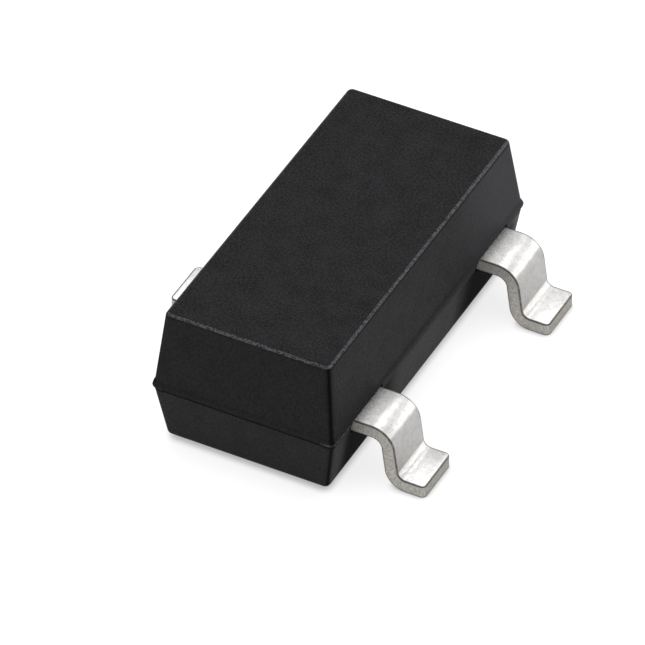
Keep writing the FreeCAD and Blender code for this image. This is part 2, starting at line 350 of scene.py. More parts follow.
strip_top = lead_high.z
strip_bottom = strip_top - STRIP_THICKNESS
tip_x = lead_high.x
lead_y = (lead_low.y + lead_high.y) / 2
knee_z = strip_bottom - KNEE_RADIUS
ankle_x = tip_x - FOOT_LENGTH
ankle_z = STRIP_THICKNESS + ANKLE_RADIUS
bends = KNEE_RADIUS + STRIP_THICKNESS + ANKLE_RADIUS
leg_length = (knee_z - ankle_z + bends * math.cos(LEG_ANGLE)) / math.sin(LEG_ANGLE)
knee_x = ankle_x - bends * math.sin(LEG_ANGLE) - leg_length * math.cos(LEG_ANGLE)
leg_way = Vector((math.cos(LEG_ANGLE), 0, -math.sin(LEG_ANGLE)))
print(f"knee at x {knee_x:.4f}, leg {leg_length:.4f} mm long")

# %% [markdown]
# Plating, streaks and cut edges all follow the strip round its bends. So every point also needs to know
# where it lay before the strip was bent: how far along, how far across, and how deep in the thickness. The
# bends are true arcs, so a little geometry gives it exactly.

# %% Find a point's place on the flat strip
knee_run = (KNEE_RADIUS + HALF_STRIP) * LEG_ANGLE
ankle_run = (ANKLE_RADIUS + HALF_STRIP) * LEG_ANGLE


def place_on_strip(x, z):
    """Distance along the unbent strip from the middle of the body, and depth from 0 below to 1 on top."""
    if x <= knee_x:
        return x, (z - strip_bottom) / STRIP_THICKNESS
    knee_turn = math.atan2(x - knee_x, z - knee_z)
    if z > ankle_z and knee_turn <= LEG_ANGLE:
        reach = math.hypot(x - knee_x, z - knee_z)
        return knee_x + (KNEE_RADIUS + HALF_STRIP) * knee_turn, (reach - KNEE_RADIUS) / STRIP_THICKNESS
    if x >= ankle_x and z < ankle_z:
        return knee_x + knee_run + leg_length + ankle_run + x - ankle_x, z / STRIP_THICKNESS
    from_knee = Vector((x - knee_x, 0, z - knee_z))
    down = min(from_knee.dot(leg_way), leg_length)
    if from_knee.dot(leg_way) <= leg_length:
        out = from_knee.dot(Vector((math.sin(LEG_ANGLE), 0, math.cos(LEG_ANGLE))))
        return knee_x + knee_run + down, (out - KNEE_RADIUS) / STRIP_THICKNESS
    ankle_turn = LEG_ANGLE - math.atan2(ankle_x - x, ankle_z - z)
    reach = math.hypot(x - ankle_x, z - ankle_z)
    along = knee_x + knee_run + leg_length + (ANKLE_RADIUS + HALF_STRIP) * ankle_turn
    return along, 1 - (reach - ANKLE_RADIUS) / STRIP_THICKNESS


print("depth at the knee's top:", round(place_on_strip(knee_x + 0.001, strip_top)[1], 3))

# %% [markdown]
# The plate starts as a cube. Two bisects divide its edge, so that the middle part has the strip's width,
# and that face is drawn out into the neck and bent. On the collector the neck carries two half-round
# notches in which the resin locks: the neck is drawn out in short steps, and each is narrowed to follow the
# circle.

# %% Form a strip with its plate, neck, bends and foot
NOTCH_RADIUS = 0.05
NOTCH_STEPS = 10


def form_strip(name, plate_low, plate_high, plate_length, plate_corner, notch_x=None):
    """Draws a lead out of its flat plate towards +X, centred on y = 0."""
    bpy.ops.object.select_all(action="DESELECT")
    bpy.ops.mesh.primitive_cube_add(size=1)
    strip = bpy.context.object
    strip.name = name
    bpy.ops.object.mode_set(mode="EDIT")
    bpy.ops.transform.resize(value=(plate_high - plate_low, plate_length, STRIP_THICKNESS),
                             center_override=(0, 0, 0))
    bpy.ops.transform.translate(value=((plate_low + plate_high) / 2, 0, strip_top - HALF_STRIP))
    for side in (-1, 1):
        bpy.ops.mesh.select_all(action="SELECT")
        bpy.ops.mesh.bisect(plane_co=(0, side * LEAD_WIDTH / 2, 0), plane_no=(0, 1, 0))
    pick("FACE", lambda centre, normal: near(centre.x, plate_high) and near(centre.y, 0))
    reach = plate_high
    width = LEAD_WIDTH
    stations = []
    if notch_x:
        for step in range(NOTCH_STEPS + 1):
            turn = math.pi * step / NOTCH_STEPS
            stations.append((notch_x - NOTCH_RADIUS * math.cos(turn),
                             LEAD_WIDTH - 2 * NOTCH_RADIUS * math.sin(turn)))
    stations.append((knee_x, LEAD_WIDTH))
    for x, new_width in stations:
        bpy.ops.mesh.extrude_region_move(TRANSFORM_OT_translate={"value": (x - reach, 0, 0)})
        bpy.ops.transform.resize(value=(1, new_width / width, 1), center_override=(0, 0, 0))
        reach, width = x, new_width
    bpy.ops.mesh.spin(steps=BEND_STEPS, angle=-LEG_ANGLE, center=(knee_x, 0, knee_z), axis=(0, 1, 0))
    bpy.ops.mesh.extrude_region_move(TRANSFORM_OT_translate={"value": leg_way * leg_length})
    bpy.ops.mesh.spin(steps=BEND_STEPS, angle=LEG_ANGLE, center=(ankle_x, 0, ankle_z), axis=(0, 1, 0))
    bpy.ops.mesh.extrude_region_move(TRANSFORM_OT_translate={"value": (FOOT_LENGTH, 0, 0)})
    bpy.ops.mesh.select_all(action="SELECT")
    bpy.ops.mesh.normals_make_consistent(inside=False)
    pick("EDGE", lambda a, b: near(a.x, b.x) and near(a.y, b.y)
         and near(abs(a.y), plate_length / 2) and (near(a.x, plate_low) or near(a.x, plate_high)))
    bpy.ops.mesh.bevel(offset=plate_corner, segments=CORNER_STEPS, profile=0.5)
    bpy.ops.object.mode_set(mode="OBJECT")
    return strip


print("strip", LEAD_WIDTH, "by", STRIP_THICKNESS, "mm, bent in", 2 * BEND_STEPS, "steps")

# %% [markdown]
# The base lead's plate is the small head that the bond wire is stitched to. The collector's is the pad that
# carries the silicon, with its notched neck. Both are drawn towards +X. The collector is turned round
# later, together with its pattern.

# %% Form the base lead and the collector lead
HEAD_DEPTH = 0.22
HEAD_CORNER_RADIUS = 0.03
PAD_CORNER_RADIUS = 0.05
NOTCH_X = 0.52

collector_low, collector_high = box_mm("collector_lead")
pad_half_width = collector_high.x
pad_length = collector_high.y - collector_low.y
head_length = lead_high.y - lead_low.y
base_lead = form_strip("stamped_lead_base", lead_low.x, lead_low.x + HEAD_DEPTH, head_length,
                       HEAD_CORNER_RADIUS)
collector_lead = form_strip("stamped_lead_collector", -pad_half_width, pad_half_width, pad_length,
                            PAD_CORNER_RADIUS, NOTCH_X)
print("base lead reaches x", round(max(v.co.x for v in base_lead.data.vertices), 4), "mm")

# %% [markdown]
# A press tool leaves its marks on every edge. The side that the punch enters first is drawn over into a
# soft round, the far side stays sharp with a trace of burr, and the corners of the foot are rounded. A
# bevel of different width on each side gives that. Sharp edges are found by their angle, then sorted by
# their depth.

# %% Soften the stamped edges
TIP_CORNER_RADIUS = 0.040
ROLLED_EDGE = 0.007
BURR_EDGE = 0.004
SHARP_ANGLE = math.radians(60)
SAME_DEPTH = 0.01


def depth(place):
    """Depth of a point in the strip, 0 on its underside and 1 on its top."""
    return place_on_strip(place.x, place.z)[1]


def soften_edges(strip):
    """Rounds the tip's corners, then the rolled edges on top and the sharper ones below."""
    only(strip)
    pick("EDGE", lambda a, b: near(a.x, tip_x) and near(b.x, tip_x) and near(a.y, b.y))
    bpy.ops.mesh.bevel(offset=TIP_CORNER_RADIUS, segments=CORNER_STEPS, profile=0.5)
    for level, width, steps in ((1, ROLLED_EDGE, 3), (0, BURR_EDGE, 1)):
        bpy.ops.mesh.select_all(action="DESELECT")
        bpy.ops.mesh.edges_select_sharp(sharpness=SHARP_ANGLE)
        pick("EDGE", lambda a, b: near(depth(a), level, SAME_DEPTH) and near(depth(b), level, SAME_DEPTH),
             within=True)
        bpy.ops.mesh.bevel(offset=width, segments=steps, profile=0.5)
    bpy.ops.mesh.select_all(action="SELECT")
    bpy.ops.mesh.normals_make_consistent(inside=False)
    bpy.ops.object.mode_set(mode="OBJECT")


for strip in (base_lead, collector_lead):
    soften_edges(strip)
    print(strip.name, len(strip.data.polygons), "faces")

# %% [markdown]
# Now each point stores where it lay on the flat strip, in a vector attribute that the materials can read.
# The emitter lead is a copy of the base lead with a mesh of its own, moved along the body before the
# attribute is written, so that the two don't carry the same spots. The collector is turned by half a turn
# last.

# %% Write the flat place of every point, copy the base lead and turn the collector


def write_flat_place(strip, middle):
    """Stores along, across and depth for every point of a strip, and the y of the strip's middle line."""
    marks = strip.data.attributes
    marks.new("flat_place", "FLOAT_VECTOR", "POINT")
    marks.new("middle_line", "FLOAT", "POINT")
    for point in strip.data.vertices:
        along, level = place_on_strip(point.co.x, point.co.z)
        marks["flat_place"].data[point.index].vector = (along, point.co.y, level)
        marks["middle_line"].data[point.index].value = middle


def shift(piece, way):
    """Moves a piece's mesh, and leaves the object at the origin."""
    only(piece)
    bpy.ops.object.mode_set(mode="EDIT")
    bpy.ops.mesh.select_all(action="SELECT")
    bpy.ops.transform.translate(value=way)
    bpy.ops.object.mode_set(mode="OBJECT")


emitter_lead = base_lead.copy()
emitter_lead.data = base_lead.data.copy()
emitter_lead.name = "stamped_lead_emitter"
bpy.context.scene.collection.objects.link(emitter_lead)
shift(base_lead, (0, lead_y, 0))
shift(emitter_lead, (0, -lead_y, 0))
for strip, middle in ((base_lead, lead_y), (emitter_lead, -lead_y), (collector_lead, 0)):
    write_flat_place(strip, middle)
only(collector_lead)
bpy.ops.transform.rotate(value=math.pi, orient_axis="Z", center_override=(0, 0, 0))
bpy.ops.object.transform_apply(location=True, rotation=True, scale=True)
print("collector reaches x", round(min(v.co.x for v in collector_lead.data.vertices), 4), "mm")

# %% [markdown]
# ## Close the moulding round the metal
#
# Resin flows into every corner that the metal and the silicon leave free, so the real block is the blank
# with all of them taken out of it. A Boolean difference does the same. Copies of the sealed pieces come
# from the frame. Where a lead comes out, the resin shrinks and chips away from it and leaves a fine dark
# gap, a little wider beside the strip than above and below it, so a slightly larger box is cut there as
# well.

# %% Collect what the resin flows round
EXIT_GAP = 0.012
SIDE_GAP = 0.022
EXIT_DEPTH = 0.05
SEALED_NODES = ("silicon_die", "die_attach", "base_bond_wire", "emitter_bond_wire")

held = bpy.data.collections.new("held_in_the_moulding")
bpy.context.scene.collection.children.link(held)


def add_copy(piece, factor):
    """Puts a merged copy of a piece among what the moulding closes round."""
    copy = piece.copy()
    copy.data = piece.data.copy()
    copy.parent = None
    held.objects.link(copy)
    only(copy)
    bpy.ops.object.mode_set(mode="EDIT")
    bpy.ops.mesh.select_all(action="SELECT")
    bpy.ops.transform.resize(value=(factor, factor, factor), center_override=(0, 0, 0))
    bpy.ops.mesh.remove_doubles(threshold=SAME_PLACE)
    bpy.ops.object.mode_set(mode="OBJECT")


def add_exit_gap(side, y):
    """Puts a box at a lead's exit among what is taken out of the moulding."""
    bpy.ops.object.select_all(action="DESELECT")
    bpy.ops.mesh.primitive_cube_add(size=1)
    gap = bpy.context.object
    bpy.ops.object.mode_set(mode="EDIT")
    size = (2 * EXIT_DEPTH, LEAD_WIDTH + 2 * SIDE_GAP, STRIP_THICKNESS + 2 * EXIT_GAP)
    bpy.ops.transform.resize(value=size, center_override=(0, 0, 0))
    bpy.ops.transform.translate(value=(side * body_width / 2, y, strip_top - HALF_STRIP))
    bpy.ops.object.mode_set(mode="OBJECT")
    for owner in list(gap.users_collection):
        owner.objects.unlink(gap)
    held.objects.link(gap)


for lead in (base_lead, emitter_lead, collector_lead):
    add_copy(lead, 1)
for node_name in SEALED_NODES:
    add_copy(frame["nodes"][node_name], MM_PER_METRE)
for side, y in ((1, lead_y), (1, -lead_y), (-1, 0)):
    add_exit_gap(side, y)

# %% [markdown]
# The copies bring stored normals with them, and these would win over the smoothing that comes later and
# shade the wall falsely round each hole. So they are cleared as soon as the holes are cut. Last, a count of
# the open edges shows that the block is still closed.

# %% Take them out of the block
apply_modifier(body, "BOOLEAN", operation="DIFFERENCE", operand_type="COLLECTION", collection=held,
               solver="EXACT")
bpy.ops.mesh.customdata_custom_splitnormals_clear()
for cutter in list(held.objects):
    bpy.data.objects.remove(cutter)
bpy.data.collections.remove(held)
bpy.ops.object.mode_set(mode="EDIT")
bpy.ops.mesh.select_mode(type="EDGE")
bpy.ops.mesh.select_all(action="DESELECT")
bpy.ops.mesh.select_non_manifold()
bpy.ops.object.mode_set(mode="OBJECT")
print("moulding:", len(body.data.polygons), "faces, open edges:",
      sum(edge.select for edge in body.data.edges))

# %% [markdown]
# ## Finish the pieces
#
# Every new piece is shrunk to metres, with its place baked into its mesh, and smoothed where its faces meet
# at a small angle. It is tied to the frame's root body and stands for its node of the frame, which is hidden.

# %% Shrink to metres, smooth and place the new pieces
SMOOTH_ANGLE = math.radians(32)


def finish_piece(piece, stands_for):
    """Turns a piece from millimetre numbers to metres and hands it to the frame."""
    only(piece)
    piece.scale = (1 / MM_PER_METRE,) * 3
    bpy.ops.object.transform_apply(location=True, rotation=True, scale=True)
    bpy.ops.object.shade_smooth_by_angle(angle=SMOOTH_ANGLE)
    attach(piece, "root")
    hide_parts(stands_for)


finish_piece(body, "mould_body")
finish_piece(base_lead, "base_lead")
finish_piece(emitter_lead, "emitter_lead")
finish_piece(collector_lead, "collector_lead")
for piece in (body, base_lead, emitter_lead, collector_lead):
    print(piece.name, [round(x * MM_PER_METRE, 3) for x in piece.dimensions], "mm")

# %% [markdown]
# ## Materials
#
# Each finish is built from nodes. A few helpers keep that readable. One turns an ordinary hex colour into
# the linear numbers that light needs, and one adds a node of any kind, with its settings and its links. In
# this script a Mix node blends colours, a Map Range is smooth and a Math node multiplies, unless a setting
# says otherwise. Two more join such nodes into forms that come back often, a band and a distance.

# %% Helpers for materials
USUAL = {"Mix": {"data_type": "RGBA"}, "MapRange": {"interpolation_type": "SMOOTHSTEP"},
         "Math": {"operation": "MULTIPLY"}}


def colour(code):
    """Linear red, green, blue and alpha of an sRGB hex colour."""
    parts = [int(code[i:i + 2], 16) / 255 for i in (1, 3, 5)]
    return [p / 12.92 if p <= 0.04045 else ((p + 0.055) / 1.055) ** 2.4 for p in parts] + [1]


def add(tree, kind, *inputs, **settings):
    """Adds a shader node, sets it, and fills its inputs in the order in which it shows them.

    One dictionary fills them by name instead. Each is given a value, a link from a socket, or a link from
    another node's first output. What isn't given keeps its default.
    """
    made = tree.nodes.new("ShaderNode" + kind)
    for name, value in {**USUAL.get(kind, {}), **settings}.items():
        setattr(made, name, value)
    if inputs and isinstance(inputs[0], dict):
        filled = [(made.inputs[name], value) for name, value in inputs[0].items()]
    else:
        filled = zip([socket for socket in made.inputs if socket.enabled], inputs)
    for socket, value in filled:
        if isinstance(value, bpy.types.Node):
            value = next(output for output in value.outputs if output.enabled)
        if isinstance(value, bpy.types.NodeSocket):
            tree.links.new(value, socket)
        else:
            socket.default_value = value
    return made


def new_material(name):
    """An empty material, its tree, and each point's place in millimetres, fixed to the piece."""
    material = bpy.data.materials.new(name)
    material.use_nodes = True
    tree = material.node_tree
    tree.nodes.clear()
    here = add(tree, "TexCoord").outputs["Object"]
    return material, tree, add(tree, "VectorMath", here, MM_PER_METRE, operation="SCALE")


def band(tree, value, low, high, softness):
    """1 between two levels and 0 outside them, with soft sides."""
    above_low = add(tree, "MapRange", value, low - softness, low)
    below_high = add(tree, "MapRange", value, high, high + softness, 1, 0)
    return add(tree, "Math", above_low, below_high)


def away_from(tree, value, centre):
    """How far a value is from a centre, to either side."""
    return add(tree, "Math", add(tree, "Math", value, centre, operation="SUBTRACT"), operation="ABSOLUTE")


print("black of a moulding compound, linear:", [round(x, 4) for x in colour("#232425")[:3]])

# %% [markdown]
# ### Black epoxy moulding compound
#
# The block is epoxy resin with about four fifths of fine silica and a little carbon black, pressed into a
# cavity that was spark-eroded to a fine matt. To the eye it is charcoal, not jet: a tight grain, a broad
# unevenness where filler and resin parted, a few grains of silica just under the skin, and a rough light
# line along the upper rims, partly filler that shows where the skin is thin and partly a painted highlight
# where the rounded rim catches the lamps. Painting these by hand would need a picture, and noise in real
# millimetres gives them on every side.
#
# First come the marks that lie in one place only. On the wall with two leads a painted reflection makes it
# paler towards the far end, most of all low at the corner, and painted shade makes it dark below each lead,
# where it is dull too. Nothing in the shape gives that, so both are placed, and each fades over a stretch of
# wall, so that no edge shows. Lengths are millimetres.

# %% Mark the wall with two leads
FAR_HALF = (0.3, 1.2)
FAR_CORNER = (1.12, 1.42)
FAR_CORNER_TOP = (0.46, 0.42)
NEAR_CORNER = (-1.32, -1.12)
FAR_HALF_SHARE = 0.7
# Painted reflection: the colours that pale the far end of the wall and its far lower corner.
FAR_END_PAINTED_REFLECTION = colour("#3f3f42")
FAR_CORNER_PAINTED_REFLECTION = colour("#737477")
# The colour of the painted shade at the corners, in the seam, under the rims and below the leads.
SHADE_BLACK = colour("#0a0a0b")
LEAD_SHADE_REACH = 0.36
LEAD_SHADE_LOW = 0.10
LEAD_SHADE_BLEND = 0.06


def mark_lead_wall(tree, skin, place, lead_wall):
    """Paints reflection at the wall's far end and shade below the leads, and says how dull it is there."""
    _, y, z = add(tree, "SeparateXYZ", place).outputs
    # Painted reflection: paler towards the far end of the wall with two leads, most of all low at the far
    # corner.
    far_end_reflection = add(tree, "Math", lead_wall, add(tree, "MapRange", y, *FAR_HALF, 0, FAR_HALF_SHARE))
    skin = add(tree, "Mix", far_end_reflection, skin, FAR_END_PAINTED_REFLECTION)
    far_corner_reflection = add(tree, "Math", lead_wall, add(tree, "MapRange", y, *FAR_CORNER))
    far_corner_reflection = add(tree, "Math", far_corner_reflection, add(tree, "MapRange", z, *FAR_CORNER_TOP))
    skin = add(tree, "Mix", far_corner_reflection, skin, FAR_CORNER_PAINTED_REFLECTION)

    # Painted shade below each lead, fading to each side and towards the near corner; it also raises the
    # roughness.
    off_lead = away_from(tree, away_from(tree, y, 0), abs(lead_y))
    shade = add(tree, "MapRange", off_lead, LEAD_WIDTH / 2, LEAD_WIDTH / 2 + LEAD_SHADE_REACH, 1, 0)
    shade = add(tree, "Math", shade, band(tree, z, LEAD_SHADE_LOW, strip_bottom, LEAD_SHADE_BLEND))
    shade = add(tree, "Math", shade, lead_wall)
    shade = add(tree, "Math", shade, add(tree, "MapRange", y, *NEAR_CORNER))
    return add(tree, "Mix", shade, skin, SHADE_BLACK), shade


print("dull area reaches", LEAD_SHADE_REACH, "mm to each side of a lead")

# %% [markdown]
# Along the upper rims a light, ragged line is painted: partly the filler, which shows where the skin of resin
# is thin and broken, and partly a painted highlight where the rounded rim catches the lamps. It is missing on
# the rim above the third lead and faint at the far end. Under it, a narrow dark line of painted shade runs
# along the long walls. A noise breaks the light line up, and two bands of height hold the lines in place.

# %% Mark the upper rims
RIM_LINE = (0.0140, 0.0014)
RIM_LINE_BLEND = 0.0010
UNDER_RIM = (0.028, 0.017)
UNDER_RIM_BLEND = 0.004
UNDER_RIM_SHADE_SHARE = {"end": 0.1, "side": 0.75}
SKIN_BREAKS = (0.41, 0.59)
WHOLE_SKIN_SHARE = 0.15
THIRD_LEAD_RIM = (-0.64, -0.60)
FAR_RIM = (1.33, 1.36)
FAR_RIM_SHARE = 0.2
# Wear and painted highlight: the colour of the light broken line along the upper rims.
RIM_WEAR_AND_HIGHLIGHT = colour("#626366")


def mark_rims(tree, skin, place, side_wall, broken):
    """Draws the broken line of wear and painted highlight on the upper rims, and painted shade under it."""
    x, y, z = add(tree, "SeparateXYZ", place).outputs
    rim_low, rim_high = (mould_high.z - drop for drop in RIM_LINE)
    # Wear and painted highlight: the light broken line along the upper rims.
    line = band(tree, z, rim_low, rim_high, RIM_LINE_BLEND)
    line = add(tree, "Math", line, add(tree, "MapRange", broken, *SKIN_BREAKS, WHOLE_SKIN_SHARE, 1))
    line = add(tree, "Math", line, add(tree, "MapRange", x, *THIRD_LEAD_RIM))
    line = add(tree, "Math", line, add(tree, "MapRange", y, *FAR_RIM, 1, FAR_RIM_SHARE))
    skin = add(tree, "Mix", line, skin, RIM_WEAR_AND_HIGHLIGHT)

    # Painted shade: a narrow dark line under the rim, mostly on the long walls.
    under_low, under_high = (mould_high.z - drop for drop in UNDER_RIM)
    under_rim_shade = band(tree, z, under_low, under_high, UNDER_RIM_BLEND)
    wall_share = add(tree, "MapRange", side_wall, 0, 1, UNDER_RIM_SHADE_SHARE["end"], UNDER_RIM_SHADE_SHARE["side"])
    return add(tree, "Mix", add(tree, "Math", under_rim_shade, wall_share), skin, SHADE_BLACK)


print("light rim line", round(RIM_LINE[0] - RIM_LINE[1], 4), "mm high")

# %% [markdown]
# Under the bead, where the two mould halves met, painted shade darkens the seam. It is deeper on the long
# walls than at the ends, where its core is dull too. At the near corner of the wall with two leads a broken
# painted highlight lies on the crest of the bead. Heights measured from the parting plane keep all of this
# on the modelled bead.

# %% Mark the seam and the torn bead
SEAM_START = 0.004
SEAM_BLEND = 0.004
SEAM_SHADE_SHARE = 0.9
SEAM_CORE = (0.024, 0.012)
SEAM_DULLNESS = 0.5
CREST_HALF = 0.004
CREST_BLEND = 0.003
CREST_BREAKS = (0.48, 0.62)
# Painted highlight on the crest of the bead near the corner: where it ends, and its colour.
CREST_HIGHLIGHT_END = (-1.10, -1.16)
CREST_HIGHLIGHT = colour("#68696c")


def mark_seam(tree, skin, place, lead_wall, side_wall, broken):
    """Paints shade in the seam and a highlight on the crest of the bead, and says how dull the seam is."""
    _, y, z = add(tree, "SeparateXYZ", place).outputs
    # Painted shade in the seam under the bead, reaching lower on the long walls.
    lower_at_side = add(tree, "Math", side_wall, SEAM_DEPTH["side"] - SEAM_DEPTH["end"])
    level = add(tree, "Math", lower_at_side, z, operation="ADD")
    seam = band(tree, level, PARTING_HEIGHT - SEAM_DEPTH["end"], PARTING_HEIGHT - SEAM_START, SEAM_BLEND)
    skin = add(tree, "Mix", add(tree, "Math", seam, SEAM_SHADE_SHARE), skin, SHADE_BLACK)

    # Painted highlight on the crest of the bead, broken by noise, near the corner of the wall with two leads.
    torn = band(tree, z, PARTING_HEIGHT - CREST_HALF, PARTING_HEIGHT + CREST_HALF, CREST_BLEND)
    torn = add(tree, "Math", torn, add(tree, "MapRange", broken, *CREST_BREAKS))
    torn = add(tree, "Math", torn, lead_wall)
    torn = add(tree, "Math", torn, add(tree, "MapRange", y, *CREST_HIGHLIGHT_END))
    skin = add(tree, "Mix", torn, skin, CREST_HIGHLIGHT)

    core_low, core_high = (PARTING_HEIGHT - drop for drop in SEAM_CORE)
    core = band(tree, z, core_low, core_high, SEAM_BLEND)
    return skin, add(tree, "Math", core, add(tree, "MapRange", side_wall, 0, 1, SEAM_DULLNESS, 0))


print("seam", SEAM_DEPTH["end"], "mm deep at the ends and", SEAM_DEPTH["side"], "mm on the long walls")

# %% [markdown]
# Now the marks go onto the grain. The walls slid along the mould when the block came out, so their grain
# has half the contrast and half the strength that it has on the top. Roughness varies with the resin's
# share, and the dull marks raise it further, because at a flat angle gloss would hide a dark colour.
# Lengths are millimetres, here and in the other finishes, apart from the heights of grain and marks, which
# Blender's Bump node wants in metres.

# %% Moulding compound
GRAIN = 0.015
GRAIN_HEIGHT = 1.6e-6
CLOUD = 0.16
FILLER_GRAIN = 0.030
RIM_BREAK = 0.014
DARK_RESIN = colour("#151516")
GREY_RESIN = colour("#2e2e30")
SILICA = colour("#3c3d40")
EPOXY_IOR = 1.55
MATT_GLOSS = 0.08
SIDE_WALL = (0.60, 0.63)
LEVEL_FACE = (0.4, 0.9)
WALL_CONTRAST = 0.5
CLOUD_WEIGHT = 0.25
UNEVEN = (0.46, 0.80)
MEAN_SHARE = 0.45
SPECK_SIZE = (0.10, 0.22)
FEW_SPECKS = (0.90, 0.97)
SPECK_SHARE = 0.5
CORNER_FADE = (0.3, 0.95)
CORNER_SHADE_SHARE = 0.85
COMPOUND_ROUGHNESS = (0.66, 0.56)
DULL_ROUGHNESS = 0.4


def moulding_compound(name, gloss):
    """Matt black epoxy with a spark-eroded grain, worn rims, and painted highlight, reflection and shade."""
    material, tree, place = new_material(name)
    grain = add(tree, "TexNoise", {"Vector": place, "Scale": 1 / GRAIN, "Detail": 3, "Roughness": 0.65})
    cloud = add(tree, "TexNoise", {"Vector": place, "Scale": 1 / CLOUD, "Detail": 4, "Roughness": 0.55})
    filler = add(tree, "TexVoronoi", {"Vector": place, "Scale": 1 / FILLER_GRAIN, "Randomness": 1})
    broken = add(tree, "TexNoise", {"Vector": place, "Scale": 1 / RIM_BREAK, "Detail": 2, "Roughness": 0.7})

    facing_up = add(tree, "SeparateXYZ", add(tree, "NewGeometry").outputs["Normal"]).outputs["Z"]
    contrast = add(tree, "MapRange", facing_up, *LEVEL_FACE, WALL_CONTRAST, 1)
    uneven = add(tree, "Math", cloud, CLOUD_WEIGHT, grain, operation="MULTIPLY_ADD")
    from_mean = add(tree, "MapRange", uneven, *UNEVEN, -MEAN_SHARE, 1 - MEAN_SHARE)
    share = add(tree, "Math", from_mean, contrast, MEAN_SHARE, operation="MULTIPLY_ADD")
    skin = add(tree, "Mix", share, DARK_RESIN, GREY_RESIN)
    speck = add(tree, "MapRange", filler, *SPECK_SIZE, 1, 0)
    chosen = add(tree, "SeparateColor", filler.outputs["Color"]).outputs["Red"]
    speck = add(tree, "Math", speck, add(tree, "MapRange", chosen, *FEW_SPECKS))
    skin = add(tree, "Mix", add(tree, "Math", speck, SPECK_SHARE), skin, SILICA)
    # Painted shade: a narrow dark band down the middle of each rounded upright corner.
    turn = add(tree, "Attribute", attribute_name=CORNER_MARK).outputs["Fac"]
    skin = add(tree, "Mix", add(tree, "MapRange", turn, *CORNER_FADE, 0, CORNER_SHADE_SHARE), skin, SHADE_BLACK)

    across = add(tree, "SeparateXYZ", place).outputs["X"]
    lead_wall = add(tree, "MapRange", across, *SIDE_WALL)
    side_wall = add(tree, "MapRange", away_from(tree, across, 0), *SIDE_WALL)
    skin, below_leads = mark_lead_wall(tree, skin, place, lead_wall)
    skin = mark_rims(tree, skin, place, side_wall, broken)
    skin, seam_core = mark_seam(tree, skin, place, lead_wall, side_wall, broken)

    dull = add(tree, "Math", below_leads, seam_core, operation="MAXIMUM")
    rough = add(tree, "MapRange", share, 0, 1, *COMPOUND_ROUGHNESS)
    rough = add(tree, "Math", dull, DULL_ROUGHNESS, rough, operation="MULTIPLY_ADD")
    bump = add(tree, "Bump", {"Height": grain, "Distance": GRAIN_HEIGHT, "Strength": contrast})
    surface = add(tree, "BsdfPrincipled", {"Base Color": skin, "Roughness": rough, "IOR": EPOXY_IOR,
                                           "Specular IOR Level": gloss, "Normal": bump})
    add(tree, "OutputMaterial", surface)
    return material


compound = moulding_compound("black_epoxy_moulding_compound", MATT_GLOSS)
print(compound.name, "uses", len(compound.node_tree.nodes), "nodes")

# %% [markdown]
# The upright corners and the seam under the flash carry painted shade: a narrow dark band down each corner
# and a dark line under the bead. The faces there get the same compound with a quarter of its gloss, so that
# gloss doesn't hide that dark colour, and the marks that we wrote let the colour fade towards it.

# %% Duller skin on the corners and in the seam
CORNER_MIDDLE = 0.9
SEAM_TOP = 0.014
LEVEL_NORMAL = 0.9
SKIN_GLOSS = MATT_GLOSS / 4

marks = body.data.attributes[CORNER_MARK]
body.data.materials.clear()
body.data.materials.append(compound)
body.data.materials.append(moulding_compound("duller_skin", SKIN_GLOSS))
for face in body.data.polygons:
    mean_turn = sum(marks.data[i].value for i in face.vertices) / len(face.vertices)
    drop = PARTING_HEIGHT - face.center.z * MM_PER_METRE
    in_seam = SEAM_TOP < drop < SEAM_DEPTH["side" if abs(face.normal.x) > abs(face.normal.y) else "end"]
    on_wall = abs(face.normal.z) < LEVEL_NORMAL
    face.material_index = int(mean_turn > CORNER_MIDDLE or (in_seam and on_wall))
print("faces with duller skin:", sum(face.material_index for face in body.data.polygons))

# %% [markdown]
# ### Matt tin plate
#
# The leads are electroplated with a few micrometres of pure tin over nickel-iron strip. Matt tin is nearly
# white, because its fine crystals scatter the light, and it is mottled and pitted from the bath. Next to
# the moulding it is grey and grainy: resin bleed and the deflashing jet leave a thin film there. The
# pattern was made while the strip was flat, so it follows the stored flat place and bends with the metal.

# %% Places on the flat strip
LEG_END = knee_x + knee_run + leg_length
STRIP_END = LEG_END + ankle_run + FOOT_LENGTH


def flat_strip_place(tree):
    """The flat place of the strip, with its depth turned into millimetres too."""
    flat = add(tree, "Attribute", attribute_name="flat_place").outputs["Vector"]
    return add(tree, "VectorMath", flat, (1, 1, STRIP_THICKNESS), operation="MULTIPLY")


def edge_distance(tree, flat):
    """Distance in millimetres from the nearer side of the strip, or from its tip if that is closer."""
    along, across, _ = add(tree, "SeparateXYZ", flat).outputs
    middle = add(tree, "Attribute", attribute_name="middle_line").outputs["Fac"]
    side = add(tree, "Math", LEAD_WIDTH / 2, away_from(tree, across, middle), operation="SUBTRACT")
    tip = add(tree, "Math", STRIP_END, along, operation="SUBTRACT")
    return add(tree, "Math", side, tip, operation="MINIMUM")


print(f"unbent strip ends at {STRIP_END:.3f} mm from the middle of the body")

# %% [markdown]
# The plate is mixed from light to dark: two near whites in a mottle, grey pits, painted shade that makes the
# steep leg greyer, the film next to the moulding, and a thin dark edge, which is plating rubbed there and
# painted shade where the rolled edge turns from the light. It is a metal, so its colour is its reflection,
# and a middling roughness blurs that to the soft shine of matt tin.

